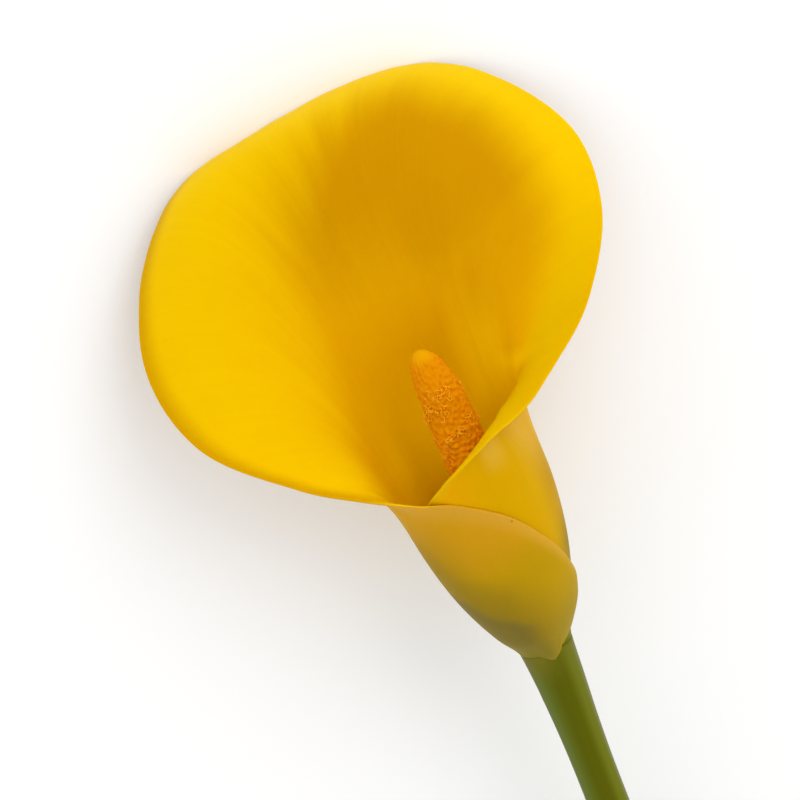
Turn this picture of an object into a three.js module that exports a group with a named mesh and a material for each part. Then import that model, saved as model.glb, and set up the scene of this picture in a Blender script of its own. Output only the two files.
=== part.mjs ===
import * as THREE from 'three';

// A calla lily flower on a cut stem, laid down on its back. Millimetres and degrees.
// Each piece is shaped upright first: +Z runs up the stem and out of the mouth, and -Y is the front.
// Round that axis, an angle of 0 is the front, 90 the right, 180 the back and 270 the left.

const LYING = { pitch: 6.483, roll: -1.291 };

// The spathe is one sheet rolled into a funnel that widens into the mouth. It runs from its inner margin,
// at the first rim station, all the way round to its outer margin, so the front is covered twice.
const SPATHE = {
  columns: 70,
  rows: 20,
  thickness: 0.9,
  marginThickness: 0.65,
  footRadius: 4.55,
  footRise: 0.6,
  swell: 9.3,
  swellHeight: 16,
  swellPower: 1.3,
  taper: 0.01,
  lean: 0.06,
  hip: { shift: 0.5, rise: 4, fade: 22 },
  sway: { shift: 0.8, from: 30, to: 70 },
  foot: { shift: 0.15, fadedAt: 10 },
  innerLayer: { offset: -1.5, from: -90, to: 150 },
  outerLayer: { offset: 1.15, from: 310, to: 460 },
  footTilt: 0.8,
  innerFoot: { height: 21, from: 12, reach: 82, power: 1.3 },
  outerFoot: { height: 6.2, from: 388, reach: 74, power: 1 },
  throatRows: 0.34,
  cornerAngle: 20,
  cornerShare: 0.3,
  columnPerDegree: 0.45,
};

// Stations along the rim. Where no radius is given the rim simply ends the tube. The slope is that of the
// sheet's edge, outward and down when above 0, and straight up the tube near -90.
const RIM = [
  { angle: -70, height: 31, slope: -84 },
  { angle: -52, height: 37.9, slope: -80 },
  { angle: -38, height: 41.3, slope: -66, radius: 12.9 },
  { angle: -24, height: 43.9, slope: -34, radius: 14.2 },
  { angle: -8, height: 46.9, slope: -4, radius: 15.5 },
  { angle: 10, height: 49.3, slope: 4, radius: 15.9 },
  { angle: 30, height: 51.3, slope: 8, radius: 16.6 },
  { angle: 58, height: 51.6, slope: 8, radius: 17.6 },
  { angle: 78, height: 51.8, slope: 4, radius: 19.3 },
  { angle: 90, height: 53.6, slope: 0, radius: 23.6 },
  { angle: 103, height: 59.2, slope: -4, radius: 34.2 },
  { angle: 112, height: 69.6, slope: 2, radius: 45 },
  { angle: 121, height: 81.6, slope: 8, radius: 50.3 },
  { angle: 134, height: 93.3, slope: 10, radius: 48.2 },
  { angle: 147, height: 99, slope: 12, radius: 44.6 },
  { angle: 165, height: 100.6, slope: 12, radius: 39.2 },
  { angle: 185, height: 99.6, slope: 16, radius: 37.2 },
  { angle: 199, height: 97.6, slope: 22, radius: 39.2 },
  { angle: 212, height: 95.5, slope: 25, radius: 42.3 },
  { angle: 225, height: 91.5, slope: 25, radius: 43.5 },
  { angle: 238, height: 82.4, slope: 22, radius: 46 },
  { angle: 249, height: 70.8, slope: 14, radius: 46.5 },
  { angle: 260, height: 58.4, slope: 0, radius: 40.8 },
  { angle: 271, height: 48.7, slope: -16, radius: 28.2 },
  { angle: 284, height: 44.2, slope: -16, radius: 19.8 },
  { angle: 300, height: 42.5, slope: -26, radius: 15.9 },
  { angle: 318, height: 41.9, slope: -54, radius: 14.7 },
  { angle: 345, height: 40.3, slope: -80 },
  { angle: 375, height: 35, slope: -84 },
  { angle: 400, height: 26.5, slope: -84 },
  { angle: 425, height: 17.8, slope: -84 },
  { angle: 448, height: 12.9, slope: -84 },
  { angle: 466, height: 9.6, slope: -84 },
];

// Stations of the arch between the tube and the rim. The throat is the share of the sheet's height at
// which the tube ends. Wall and lip are how far the arch keeps the directions of the tube and of the rim,
// as shares of the distance between them.
const ARCH = [
  { angle: -70, throat: 0.8, wall: 0.5, lip: 0.3 },
  { angle: -40, throat: 0.82, wall: 0.5, lip: 0.12 },
  { angle: -24, throat: 0.8, wall: 0.56, lip: 0.14 },
  { angle: -8, throat: 0.76, wall: 0.66, lip: 0.2 },
  { angle: 30, throat: 0.66, wall: 0.74, lip: 0.34 },
  { angle: 58, throat: 0.6, wall: 0.66, lip: 0.54 },
  { angle: 78, throat: 0.6, wall: 0.62, lip: 0.6 },
  { angle: 90, throat: 0.6, wall: 0.6, lip: 0.62 },
  { angle: 98, throat: 0.55, wall: 0.6, lip: 0.6 },
  { angle: 103, throat: 0.5, wall: 0.6, lip: 0.58 },
  { angle: 112, throat: 0.42, wall: 0.6, lip: 0.54 },
  { angle: 121, throat: 0.38, wall: 0.6, lip: 0.5 },
  { angle: 134, throat: 0.36, wall: 0.56, lip: 0.46 },
  { angle: 147, throat: 0.36, wall: 0.5, lip: 0.44 },
  { angle: 185, throat: 0.36, wall: 0.46, lip: 0.42 },
  { angle: 225, throat: 0.36, wall: 0.5, lip: 0.42 },
  { angle: 238, throat: 0.38, wall: 0.56, lip: 0.42 },
  { angle: 249, throat: 0.43, wall: 0.66, lip: 0.4 },
  { angle: 262, throat: 0.57, wall: 0.74, lip: 0.38 },
  { angle: 275, throat: 0.68, wall: 0.78, lip: 0.34 },
  { angle: 288, throat: 0.74, wall: 0.8, lip: 0.24 },
  { angle: 302, throat: 0.76, wall: 0.66, lip: 0.2 },
  { angle: 320, throat: 0.76, wall: 0.55, lip: 0.12 },
  { angle: 345, throat: 0.6, wall: 0.5, lip: 0.2 },
  { angle: 466, throat: 0.5, wall: 0.6, lip: 0.3 },
];

// The spadix is a club with rows of staggered florets raised from its surface.
const SPADIX = {
  bottom: 2.6,
  top: 64.5,
  radius: 3.75,
  belly: { radius: 0.36, from: 60, full: 42 },
  footRadius: 3.1,
  footHeight: 14,
  tipLength: 11,
  lean: -0.027,
  tipBend: -1,
  relief: 0.3,
  floretsAround: 16,
  floretRows: 32,
  sides: 64,
  rings: 64,
};

// The stem flares up to a shoulder under the spathe, steps in to a neck inside its foot, and ends in a
// slanting cut. The collar, from below the shoulder up, is raised and tilted with the spathe's foot.
const STEM = {
  length: 200,
  shoulderRadius: 5,
  shoulderHeight: -0.6,
  flare: 2,
  waistRadius: 3.75,
  waistHeight: -30,
  endRadius: 3.9,
  neckRadius: 3.75,
  neckHeight: -0.3,
  topHeight: 0.8,
  collar: { from: -12, to: -1 },
  topShift: { shift: -0.15, from: -8 },
  sideBend: 7,
  bow: { shift: 0.08, length: 40 },
  cutSlope: 0.45,
  sides: 24,
  rings: 18,
};

const radians = THREE.MathUtils.degToRad;
const smooth = (low, high, x) => THREE.MathUtils.smoothstep(x, low, high);

// A cubic curve through [angle, value] keys, with each key's slope taken from its two neighbours.
function curveThrough(keys) {
  const slopes = keys.map((key, i) => {
    const before = keys[Math.max(i - 1, 0)];
    const after = keys[Math.min(i + 1, keys.length - 1)];
    return (after[1] - before[1]) / (after[0] - before[0]);
  });
  return (angle) => {
    const next = keys.findIndex((key) => key[0] > angle);
    const i = next < 0 ? keys.length - 2 : Math.max(next - 1, 0);
    const span = keys[i + 1][0] - keys[i][0];
    const s = THREE.MathUtils.clamp((angle - keys[i][0]) / span, 0, 1);
    return keys[i][1] * (1 + 2 * s) * (1 - s) ** 2 + keys[i + 1][1] * s * s * (3 - 2 * s)
      + slopes[i] * span * s * (1 - s) ** 2 - slopes[i + 1] * span * s * s * (1 - s);
  };
}

// A closed mesh from its corners, given as Vector3, and its triangles, given as index triples.
function closedMesh(name, corners, triangles, finish) {
  const geometry = new THREE.BufferGeometry();
  geometry.setAttribute('position', new THREE.Float32BufferAttribute(corners.flatMap((p) => p.toArray()), 3));
  geometry.setIndex(triangles.flat());
  geometry.computeVertexNormals();
  const mesh = new THREE.Mesh(geometry, new THREE.MeshStandardMaterial(finish));
  mesh.name = name;
  return mesh;
}

// Rings of points from bottom to top, each counter-clockwise seen from above, closed by a point at each end.
function ringedMesh(name, rings, bottom, top, finish) {
  const sides = rings[0].length;
  const corners = [...rings.flat(), bottom, top];
  const triangles = [];
  for (let i = 0; i < sides; i++) {
    const j = (i + 1) % sides;
    for (let row = 0; row < rings.length - 1; row++) {
      const low = row * sides;
      const high = low + sides;
      triangles.push([low + i, low + j, high + j], [low + i, high + j, high + i]);
    }
    const last = (rings.length - 1) * sides;
    triangles.push([corners.length - 2, j, i], [last + i, last + j, corners.length - 1]);
  }
  return closedMesh(name, corners, triangles, finish);
}

// The tube swells by a dying exponential and then widens evenly.
function tubeRadius(height) {
  const up = Math.max(height - SPATHE.footRise, 0);
  const swelling = 1 - Math.exp(-((up / SPATHE.swellHeight) ** SPATHE.swellPower));
  return SPATHE.footRadius + SPATHE.swell * swelling + SPATHE.taper * up;
}

function tubeSlope(height) {
  const { swell, swellHeight, swellPower } = SPATHE;
  const share = Math.max(height - SPATHE.footRise, 0) / swellHeight;
  const growth = swell * swellPower / swellHeight * share ** (swellPower - 1);
  return growth * Math.exp(-(share ** swellPower)) + SPATHE.taper;
}

// How far the tube's middle stands to the left of the stem's axis.
function tubeLean(height) {
  const up = Math.max(height, 0);
  const { hip, sway, foot } = SPATHE;
  return SPATHE.lean * height + hip.shift * (1 - Math.exp(-up / hip.rise)) * Math.exp(-((up / hip.fade) ** 2))
    + sway.shift * smooth(sway.from, sway.to, height) + foot.shift * (1 - smooth(0, foot.fadedAt, height));
}

// The roll's spiral: the inner turn lies inside the tube's radius, and the outer turn outside it.
function layerOffset(angle) {
  const { innerLayer, outerLayer } = SPATHE;
  return innerLayer.offset * (1 - smooth(innerLayer.from, innerLayer.to, angle))
    + outerLayer.offset * smooth(outerLayer.from, outerLayer.to, angle);
}

function footHeight(angle) {
  const { innerFoot, outerFoot } = SPATHE;
  const inner = Math.max(0, (innerFoot.from - angle) / innerFoot.reach);
  const outer = Math.max(0, (angle - outerFoot.from) / outerFoot.reach);
  return SPATHE.footRise + SPATHE.footTilt * (1 + Math.cos(radians(angle)))
    + innerFoot.height * inner ** innerFoot.power + outerFoot.height * outer ** outerFoot.power;
}

const firstAngle = RIM[0].angle;
const lastAngle = RIM[RIM.length - 1].angle;
const rimHeight = curveThrough(RIM.map((key) => [key.angle, key.height]));
const rimSlope = curveThrough(RIM.map((key) => [key.angle, key.slope]));
const rimFlare = curveThrough(RIM.map((key) => [key.angle,
  key.radius === undefined ? 0 : key.radius - tubeRadius(key.height) - layerOffset(key.angle)]));
const throatShare = curveThrough(ARCH.map((key) => [key.angle, key.throat]));
const wallPull = curveThrough(ARCH.map((key) => [key.angle, key.wall]));
const lipPull = curveThrough(ARCH.map((key) => [key.angle, key.lip]));

function cubic(a, b, c, d, t) {
  const u = 1 - t;
  return a * u ** 3 + 3 * b * u * u * t + 3 * c * u * t * t + d * t ** 3;
}

// How much of the sheet's height is left this near to one of its two ends.
function cornerAt(angle) {
  const fromEnd = Math.min(angle - firstAngle, lastAngle - angle) / SPATHE.cornerAngle;
  return Math.sqrt(Math.max(1 - Math.max(1 - fromEnd, 0) ** 2, SPATHE.cornerShare ** 2));
}

// A point of the sheet's middle surface. share runs from 0 at the foot to 1 at the rim: up the tube as far
// as the throat, then along one cubic arch out to the rim. Both ends of the sheet have round corners.
function sheetPoint(angle, share, corner = cornerAt(angle)) {
  const middle = (rimHeight(angle) + footHeight(angle)) / 2;
  const top = middle + (rimHeight(angle) - middle) * corner;
  const foot = middle + (footHeight(angle) - middle) * corner;
  const layer = layerOffset(angle);
  const throat = foot + (top - foot) * throatShare(angle);
  let height = foot + (throat - foot) * share / SPATHE.throatRows;
  let radius = tubeRadius(height) + layer;
  if (share > SPATHE.throatRows) {
    const t = (share - SPATHE.throatRows) / (1 - SPATHE.throatRows);
    const throatRadius = tubeRadius(throat) + layer;
    const rimRadius = tubeRadius(top) + layer + rimFlare(angle);
    const reach = Math.hypot(rimRadius - throatRadius, top - throat);
    const wall = reach * wallPull(angle) / Math.hypot(1, tubeSlope(throat));
    const lip = reach * lipPull(angle);
    const slope = radians(rimSlope(angle));
    radius = cubic(throatRadius, throatRadius + wall * tubeSlope(throat),
      rimRadius - lip * Math.cos(slope), rimRadius, t);
    height = cubic(throat, throat + wall, top + lip * Math.sin(slope), top, t);
  }
  const turn = radians(angle);
  return new THREE.Vector3(radius * Math.sin(turn) - tubeLean(height), -radius * Math.cos(turn), height);
}

// The sheet's outward direction, from the points just beside this one.
function sheetNormal(angle, share) {
  const corner = cornerAt(angle);
  const [low, high] = [Math.max(share - 0.005, 0), Math.min(share + 0.005, 1)];
  const around = sheetPoint(angle + 0.5, share, corner).sub(sheetPoint(angle - 0.5, share, corner));
  const up = sheetPoint(angle, high, corner).sub(sheetPoint(angle, low, corner));
  return around.cross(up).normalize();
}

// Angles of the sheet's columns, evenly spread along the rim but never far apart round the tube.
function columnAngles() {
  const travelled = [0];
  for (let angle = firstAngle; angle < lastAngle; angle++) {
    const step = sheetPoint(angle + 1, 1).distanceTo(sheetPoint(angle, 1));
    travelled.push(travelled.at(-1) + Math.hypot(step, SPATHE.columnPerDegree));
  }
  const total = travelled.at(-1);
  return Array.from({ length: SPATHE.columns + 1 }, (_, column) => {
    const wanted = total * column / SPATHE.columns;
    const next = Math.max(1, travelled.findIndex((length) => length >= wanted - 1e-9));
    const part = (wanted - travelled[next - 1]) / (travelled[next] - travelled[next - 1]);
    return firstAngle + next - 1 + part;
  });
}

function spathe() {
  const angles = columnAngles();
  const { rows, columns } = SPATHE;
  const outer = [];
  const inner = [];
  for (const angle of angles) {
    for (let row = 0; row <= rows; row++) {
      const share = row / rows;
      const point = sheetPoint(angle, share);
      const normal = sheetNormal(angle, share);
      const edge = Math.min((1 - share) * 8, Math.min(angle - firstAngle, lastAngle - angle) / 10, 1);
      const half = THREE.MathUtils.lerp(SPATHE.marginThickness, SPATHE.thickness, edge) / 2;
      outer.push(point.clone().addScaledVector(normal, half));
      inner.push(point.clone().addScaledVector(normal, -half));
    }
  }
  const back = outer.length;
  const at = (column, row) => column * (rows + 1) + row;
  const triangles = [];
  for (let column = 0; column < columns; column++) {
    for (let row = 0; row < rows; row++) {
      const a = at(column, row);
      const b = at(column + 1, row);
      const c = at(column + 1, row + 1);
      const d = at(column, row + 1);
      triangles.push([a, b, c], [a, c, d], [back + a, back + c, back + b], [back + a, back + d, back + c]);
    }
  }
  const border = [];
  for (let column = 0; column < columns; column++) border.push(at(column, 0));
  for (let row = 0; row < rows; row++) border.push(at(columns, row));
  for (let column = columns; column > 0; column--) border.push(at(column, rows));
  for (let row = rows; row > 0; row--) border.push(at(0, row));
  border.forEach((a, i) => {
    const b = border[(i + 1) % border.length];
    triangles.push([b, a, back + a], [b, back + a, back + b]);
  });
  return closedMesh('spathe', [...outer, ...inner], triangles, { color: 0xf2b705, roughness: 0.5 });
}

function spadix() {
  const { bottom, top, sides, belly } = SPADIX;
  const axisAt = (height) => {
    const bend = Math.max(0, (height - (top - 1.5 * SPADIX.tipLength)) / (1.5 * SPADIX.tipLength));
    return SPADIX.lean * height + SPADIX.tipBend * bend ** 2;
  };
  const rings = [];
  for (let ring = 1; ring < SPADIX.rings; ring++) {
    const share = ring / SPADIX.rings;
    const height = bottom + (top - bottom) * share;
    const tip = Math.max(0, 1 - (top - height) / SPADIX.tipLength);
    const base = Math.max(0, 1 - (height - bottom) / 1.5);
    const bellied = SPADIX.radius + belly.radius * (1 - smooth(belly.full, belly.from, height));
    const body = THREE.MathUtils.lerp(SPADIX.footRadius, bellied, smooth(bottom, SPADIX.footHeight, height));
    const round = Math.sqrt(1 - tip ** 2.4) * Math.sqrt(1 - 0.5 * base ** 2);
    rings.push(Array.from({ length: sides }, (_, side) => {
      const turn = 2 * Math.PI * side / sides;
      const florets = Math.cos(SPADIX.floretsAround * turn) * Math.cos(Math.PI * SPADIX.floretRows * share);
      const radius = (body + SPADIX.relief * florets) * round;
      return new THREE.Vector3(axisAt(height) + radius * Math.cos(turn), radius * Math.sin(turn), height);
    }));
  }
  const end = (height) => new THREE.Vector3(axisAt(height), 0, height);
  return ringedMesh('spadix', rings, end(bottom), end(top), { color: 0xe07a08, roughness: 0.8 });
}

function stem() {
  const { neckRadius, neckHeight, shoulderRadius, shoulderHeight, waistRadius, waistHeight } = STEM;
  const { bow, collar, topShift } = STEM;
  const foot = -STEM.length;
  const radiusAt = (height) => {
    const down = THREE.MathUtils.clamp((shoulderHeight - height) / (shoulderHeight - waistHeight), 0, 1);
    const flared = THREE.MathUtils.lerp(waistRadius, shoulderRadius, (1 - down) ** STEM.flare);
    return flared + (STEM.endRadius - waistRadius) * (1 - smooth(foot, waistHeight, height));
  };
  const axisAt = (height) => {
    const down = Math.max(0, -height);
    const along = Math.min(down / bow.length, 1);
    return STEM.sideBend * (down / STEM.length) ** 2 + bow.shift * 16 * (along * (1 - along)) ** 2
      + topShift.shift * smooth(topShift.from, 0, height);
  };
  const ringAt = (height, radius, slant) => Array.from({ length: STEM.sides }, (_, side) => {
    const turn = 2 * Math.PI * side / STEM.sides;
    const lift = slant * STEM.cutSlope * radius * (1 - Math.sin(turn));
    const tilt = SPATHE.footTilt * (1 - radius * Math.sin(turn) / SPATHE.footRadius);
    const raised = (SPATHE.footRise + tilt) * smooth(collar.from, collar.to, height);
    return new THREE.Vector3(
      axisAt(height) + radius * Math.cos(turn), radius * Math.sin(turn), height + lift + raised);
  });
  const rings = [];
  for (let ring = 0; ring <= STEM.rings; ring++) {
    const share = (ring / STEM.rings) ** 0.62;
    const height = foot + (shoulderHeight - foot) * share;
    rings.push(ringAt(height, radiusAt(height), Math.max(0, 1 - ring / 2)));
  }
  const dome = STEM.topHeight - neckHeight;
  rings.push(ringAt(neckHeight, neckRadius, 0));
  rings.push(ringAt(neckHeight + 0.6 * dome, neckRadius * 0.86, 0));
  rings.push(ringAt(neckHeight + 0.95 * dome, neckRadius * 0.5, 0));
  const cut = new THREE.Vector3(axisAt(foot), 0, foot + STEM.cutSlope * STEM.endRadius);
  const top = STEM.topHeight + SPATHE.footRise + SPATHE.footTilt;
  const tip = new THREE.Vector3(axisAt(STEM.topHeight), 0, top);
  return ringedMesh('stem', rings, cut, tip, { color: 0x5f6a10, roughness: 0.55 });
}

// Laid down: the back of the mouth and the cut end of the stem touch the surface, and the front faces up.
const flower = new THREE.Group();
flower.add(stem(), spathe(), spadix());
flower.rotation.set(radians(LYING.pitch - 90), 0, radians(LYING.roll), 'XYZ');
flower.updateMatrixWorld(true);
const box = new THREE.Box3().setFromObject(flower, true);
flower.position.set(-(box.min.x + box.max.x) / 2, -(box.min.y + box.max.y) / 2, -box.min.z);

export default flower;
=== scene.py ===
import math
import bpy
from mathutils import Matrix, Vector
import numpy as np


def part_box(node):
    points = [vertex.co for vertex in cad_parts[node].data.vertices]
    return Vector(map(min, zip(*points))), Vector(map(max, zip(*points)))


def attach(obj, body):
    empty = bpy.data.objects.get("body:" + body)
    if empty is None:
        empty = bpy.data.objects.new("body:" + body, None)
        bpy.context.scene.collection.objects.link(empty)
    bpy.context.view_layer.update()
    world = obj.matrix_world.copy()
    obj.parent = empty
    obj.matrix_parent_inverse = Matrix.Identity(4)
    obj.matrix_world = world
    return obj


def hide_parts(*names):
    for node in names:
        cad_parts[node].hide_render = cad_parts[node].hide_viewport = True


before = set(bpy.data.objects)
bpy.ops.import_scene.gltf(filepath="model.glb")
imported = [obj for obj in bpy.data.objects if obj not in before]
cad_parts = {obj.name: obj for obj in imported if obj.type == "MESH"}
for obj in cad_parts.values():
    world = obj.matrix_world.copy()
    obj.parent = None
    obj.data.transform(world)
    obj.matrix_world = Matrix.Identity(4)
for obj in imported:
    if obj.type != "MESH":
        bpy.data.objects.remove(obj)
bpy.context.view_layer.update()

# A yellow calla lily lying on its back. Every shape is worked out upright, in millimetres:
# +Z runs up the stem and out of the mouth, -Y is the front, and an angle of 0 is the front,
# 90 the right, 180 the back and 270 the left. turnDown and shift then lay it on the floor.
lying = {"pitch": 6.483, "roll": -1.291}    # degrees
mm = 0.001
scene = bpy.context.scene


def rotationOf(pitch, roll):
    # a turn by roll about the flower's own axis, then one by pitch less a right angle about X
    r, p = math.radians(roll), math.radians(pitch - 90)
    aboutZ = np.array([[math.cos(r), -math.sin(r), 0], [math.sin(r), math.cos(r), 0], [0, 0, 1]])
    aboutX = np.array([[1, 0, 0], [0, math.cos(p), -math.sin(p)], [0, math.sin(p), math.cos(p)]])
    return aboutX @ aboutZ


turnDown = rotationOf(**lying)
shift = np.zeros(3)


def smooth(low, high, x):
    # 0 below low, 1 above high, and three s squared less two s cubed between them
    s = np.clip((x - low) / (high - low), 0, 1)
    return s * s * (3 - 2 * s)


def mix(a, b, share):
    # a where the share is 0, b where it is 1, and evenly between them
    return a + (b - a) * share


def curveThrough(xs, ys):
    # a cubic through the keys, where each key's slope is that between its two neighbours
    xs, ys = np.array(xs, float), np.array(ys, float)
    slopes = np.empty_like(ys)
    slopes[1:-1] = (ys[2:] - ys[:-2]) / (xs[2:] - xs[:-2])
    slopes[0] = (ys[1] - ys[0]) / (xs[1] - xs[0])
    slopes[-1] = (ys[-1] - ys[-2]) / (xs[-1] - xs[-2])

    def valueAt(x):
        i = np.clip(np.searchsorted(xs, x, side="right") - 1, 0, len(xs) - 2)
        span = xs[i + 1] - xs[i]
        s = np.clip((x - xs[i]) / span, 0, 1)
        return (ys[i] * (1 + 2 * s) * (1 - s) ** 2 + ys[i + 1] * s * s * (3 - 2 * s)
                + slopes[i] * span * s * (1 - s) ** 2 - slopes[i + 1] * span * s * s * (1 - s))

    return valueAt


def ripples(x, y, seed, finest=1.0, count=24):
    # a sum of sine waves with drawn directions, lengths and starts, from about -1 to 1
    draw = np.random.default_rng(seed)
    total = 0 * (x + y)
    for _ in range(count):
        turn, start = draw.uniform(0, 2 * math.pi, 2)
        rate = finest * draw.uniform(0.25, 1)
        total = total + np.sin(rate * (x * math.cos(turn) + y * math.sin(turn)) + start)
    return total / math.sqrt(count)


def gridQuads(columns, rows, start=0, flipped=False, around=False):
    # the quads of a columns by rows grid of points, stored column by column
    last = columns if around else columns - 1
    i, j = np.meshgrid(np.arange(last), np.arange(rows - 1), indexing="ij")
    right = (i + 1) % columns
    quads = np.stack([i * rows + j, right * rows + j, right * rows + j + 1, i * rows + j + 1], -1)
    quads = quads.reshape(-1, 4) + start
    return quads[:, ::-1] if flipped else quads


def makePiece(name, points, faces, masks=None, uv=None):
    # points are upright millimetres, and each mask is one number a point
    mesh = bpy.data.meshes.new(name)
    placed = (points.reshape(-1, 3) @ turnDown.T) * mm + shift
    mesh.from_pydata(placed.tolist(), [], [face.tolist() for part in faces for face in part])
    for label, values in (masks or {}).items():
        attribute = mesh.attributes.new(label, "FLOAT", "POINT")
        attribute.data.foreach_set("value", np.asarray(values, np.float32).ravel())
    if uv is not None:
        corner = np.empty(len(mesh.loops), np.int32)
        mesh.loops.foreach_get("vertex_index", corner)
        cornerUv = uv.reshape(-1, 2)[corner].astype(np.float32)
        mesh.uv_layers.new(name="UVMap").data.foreach_set("uv", cornerUv.ravel())
    mesh.shade_smooth()
    piece = bpy.data.objects.new(name, mesh)
    scene.collection.objects.link(piece)
    return piece


# The stem: a round stalk that widens under the flower and ends in a slanting cut.
spatheFoot, footRise = 4.55, 0.6
stemShape = {
    "length": 200, "shoulderRadius": 5, "shoulderHeight": -0.1, "flare": 2,
    "waistRadius": 3.75, "waistHeight": -30, "endRadius": 3.9,
    "neckRadius": 3.85, "neckHeight": 0.35, "topHeight": 0.8,
    "domeRise": (0.35, 0.7, 0.93, 1), "domeWidth": (0.94, 0.75, 0.4, 0.001),
    "collarTilt": 0.8, "collarReach": (-12, -1), "topShift": -0.15, "topShiftReach": (-8, 0),
    "sideBend": 7, "bow": 0.08, "bowLength": 40,
    "cutSlope": 0.45, "slantReach": 14, "slantPower": 1.5,
    "ribs": 11, "ribHeight": 0.03, "ribDrift": (0.6, 0.03), "ribReach": (0, -3),
    "waver": 0.06, "waverReach": (-8, -30),
    "sides": 156, "rings": 220, "neckRings": 8, "cutRings": 12, "ringSpread": 0.75, "cutSpread": 0.7,
}


def stemRadius(height):
    # widest at the shoulder, thinner by a power of the distance down to the waist, then slowly wider
    s = stemShape
    down = np.clip((s["shoulderHeight"] - height) / (s["shoulderHeight"] - s["waistHeight"]), 0, 1)
    body = mix(s["waistRadius"], s["shoulderRadius"], (1 - down) ** s["flare"])
    body = body + (s["endRadius"] - s["waistRadius"]) * smooth(s["waistHeight"], -s["length"], height)
    return mix(body, s["neckRadius"], smooth(s["shoulderHeight"], s["neckHeight"], height))


def stemAxis(height):
    # a sideways bend that grows with the square of the distance down, a low bow and the top's small shift
    s = stemShape
    down = np.maximum(0, -height)
    along = np.clip(down / s["bowLength"], 0, 1)
    bow = 16 * (along * (1 - along)) ** 2       # 1 in the middle and 0 at both ends
    return (s["sideBend"] * (down / s["length"]) ** 2 + s["bow"] * bow
            + s["topShift"] * smooth(*s["topShiftReach"], height))


def stemSurface():
    # rings about the bent axis: the cut face from its middle out, the side up to the neck, and a low dome
    s = stemShape
    foot = -s["length"]
    height = np.concatenate([
        foot + (s["shoulderHeight"] - foot) * np.linspace(0, 1, s["rings"]) ** s["ringSpread"],
        np.linspace(s["shoulderHeight"], s["neckHeight"], s["neckRings"])[1:]])
    radius = stemRadius(height)
    inward = np.linspace(0, 1, s["cutRings"] + 1)[:-1] ** s["cutSpread"]
    domeHeight = s["neckHeight"] + (s["topHeight"] - s["neckHeight"]) * np.array(s["domeRise"])
    domeRadius = s["neckRadius"] * np.array(s["domeWidth"])
    ringHeight = np.concatenate([np.full(len(inward), foot), height, domeHeight])
    ringRadius = np.concatenate([radius[0] * inward, radius, domeRadius])
    ringRadius[0] = 0.001
    slant = np.clip(1 - (ringHeight - foot) / s["slantReach"], 0, 1) ** s["slantPower"]
    side = np.concatenate([np.zeros(len(inward)), np.ones(len(height)), np.zeros(len(domeHeight))])
    turn = np.arange(s["sides"]) * 2 * math.pi / s["sides"]
    turnGrid, ring = np.meshgrid(turn, np.arange(len(ringHeight)), indexing="ij")
    r, h = ringRadius[ring], ringHeight[ring]
    waver = ripples(np.cos(turnGrid) * 2 + h * 0.05, np.sin(turnGrid) * 2, seed=5, finest=1.2)
    drift = s["ribDrift"][0] * np.sin(h * s["ribDrift"][1])
    rib = np.cos(s["ribs"] * turnGrid + drift) * s["ribHeight"]
    r = r + side[ring] * (rib * smooth(*s["ribReach"], h) + s["waver"] * waver * smooth(*s["waverReach"], h))
    toBack = r * np.sin(turnGrid)
    lift = slant[ring] * s["cutSlope"] * (radius[0] - toBack)
    collar = footRise + s["collarTilt"] * (1 - toBack / spatheFoot)
    lift = lift + collar * smooth(*s["collarReach"], h)
    points = np.stack([stemAxis(h) + r * np.cos(turnGrid), r * np.sin(turnGrid), h + lift], -1)
    cut = smooth(foot + 0.001, foot, h) * (1 - side[ring])
    return points, turnGrid, h, cut


def makeStem():
    # the stem's skin, with masks for its height, its cut face and how far each side looks left and back
    points, turn, height, cut = stemSurface()
    columns, rows = points.shape[:2]
    uv = np.stack([turn / (2 * math.pi), height / 100], -1)
    masks = {"height": height / 100, "cut": cut, "toLeft": -np.cos(turn), "toBack": np.sin(turn)}
    return makePiece("stemSkin", points, [gridQuads(columns, rows, around=True)], masks, uv)


# The shift that lays the flower where the CAD stem lies.
stemPoints = (stemSurface()[0].reshape(-1, 3) @ turnDown.T) * mm
stemLow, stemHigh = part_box("stem")
shift = (np.array(stemLow) + np.array(stemHigh)) / 2 - (stemPoints.min(0) + stemPoints.max(0)) / 2
shift[2] = stemLow[2] - stemPoints[:, 2].min()
print("stem worked out, shift in mm", (shift / mm).round(2))

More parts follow.
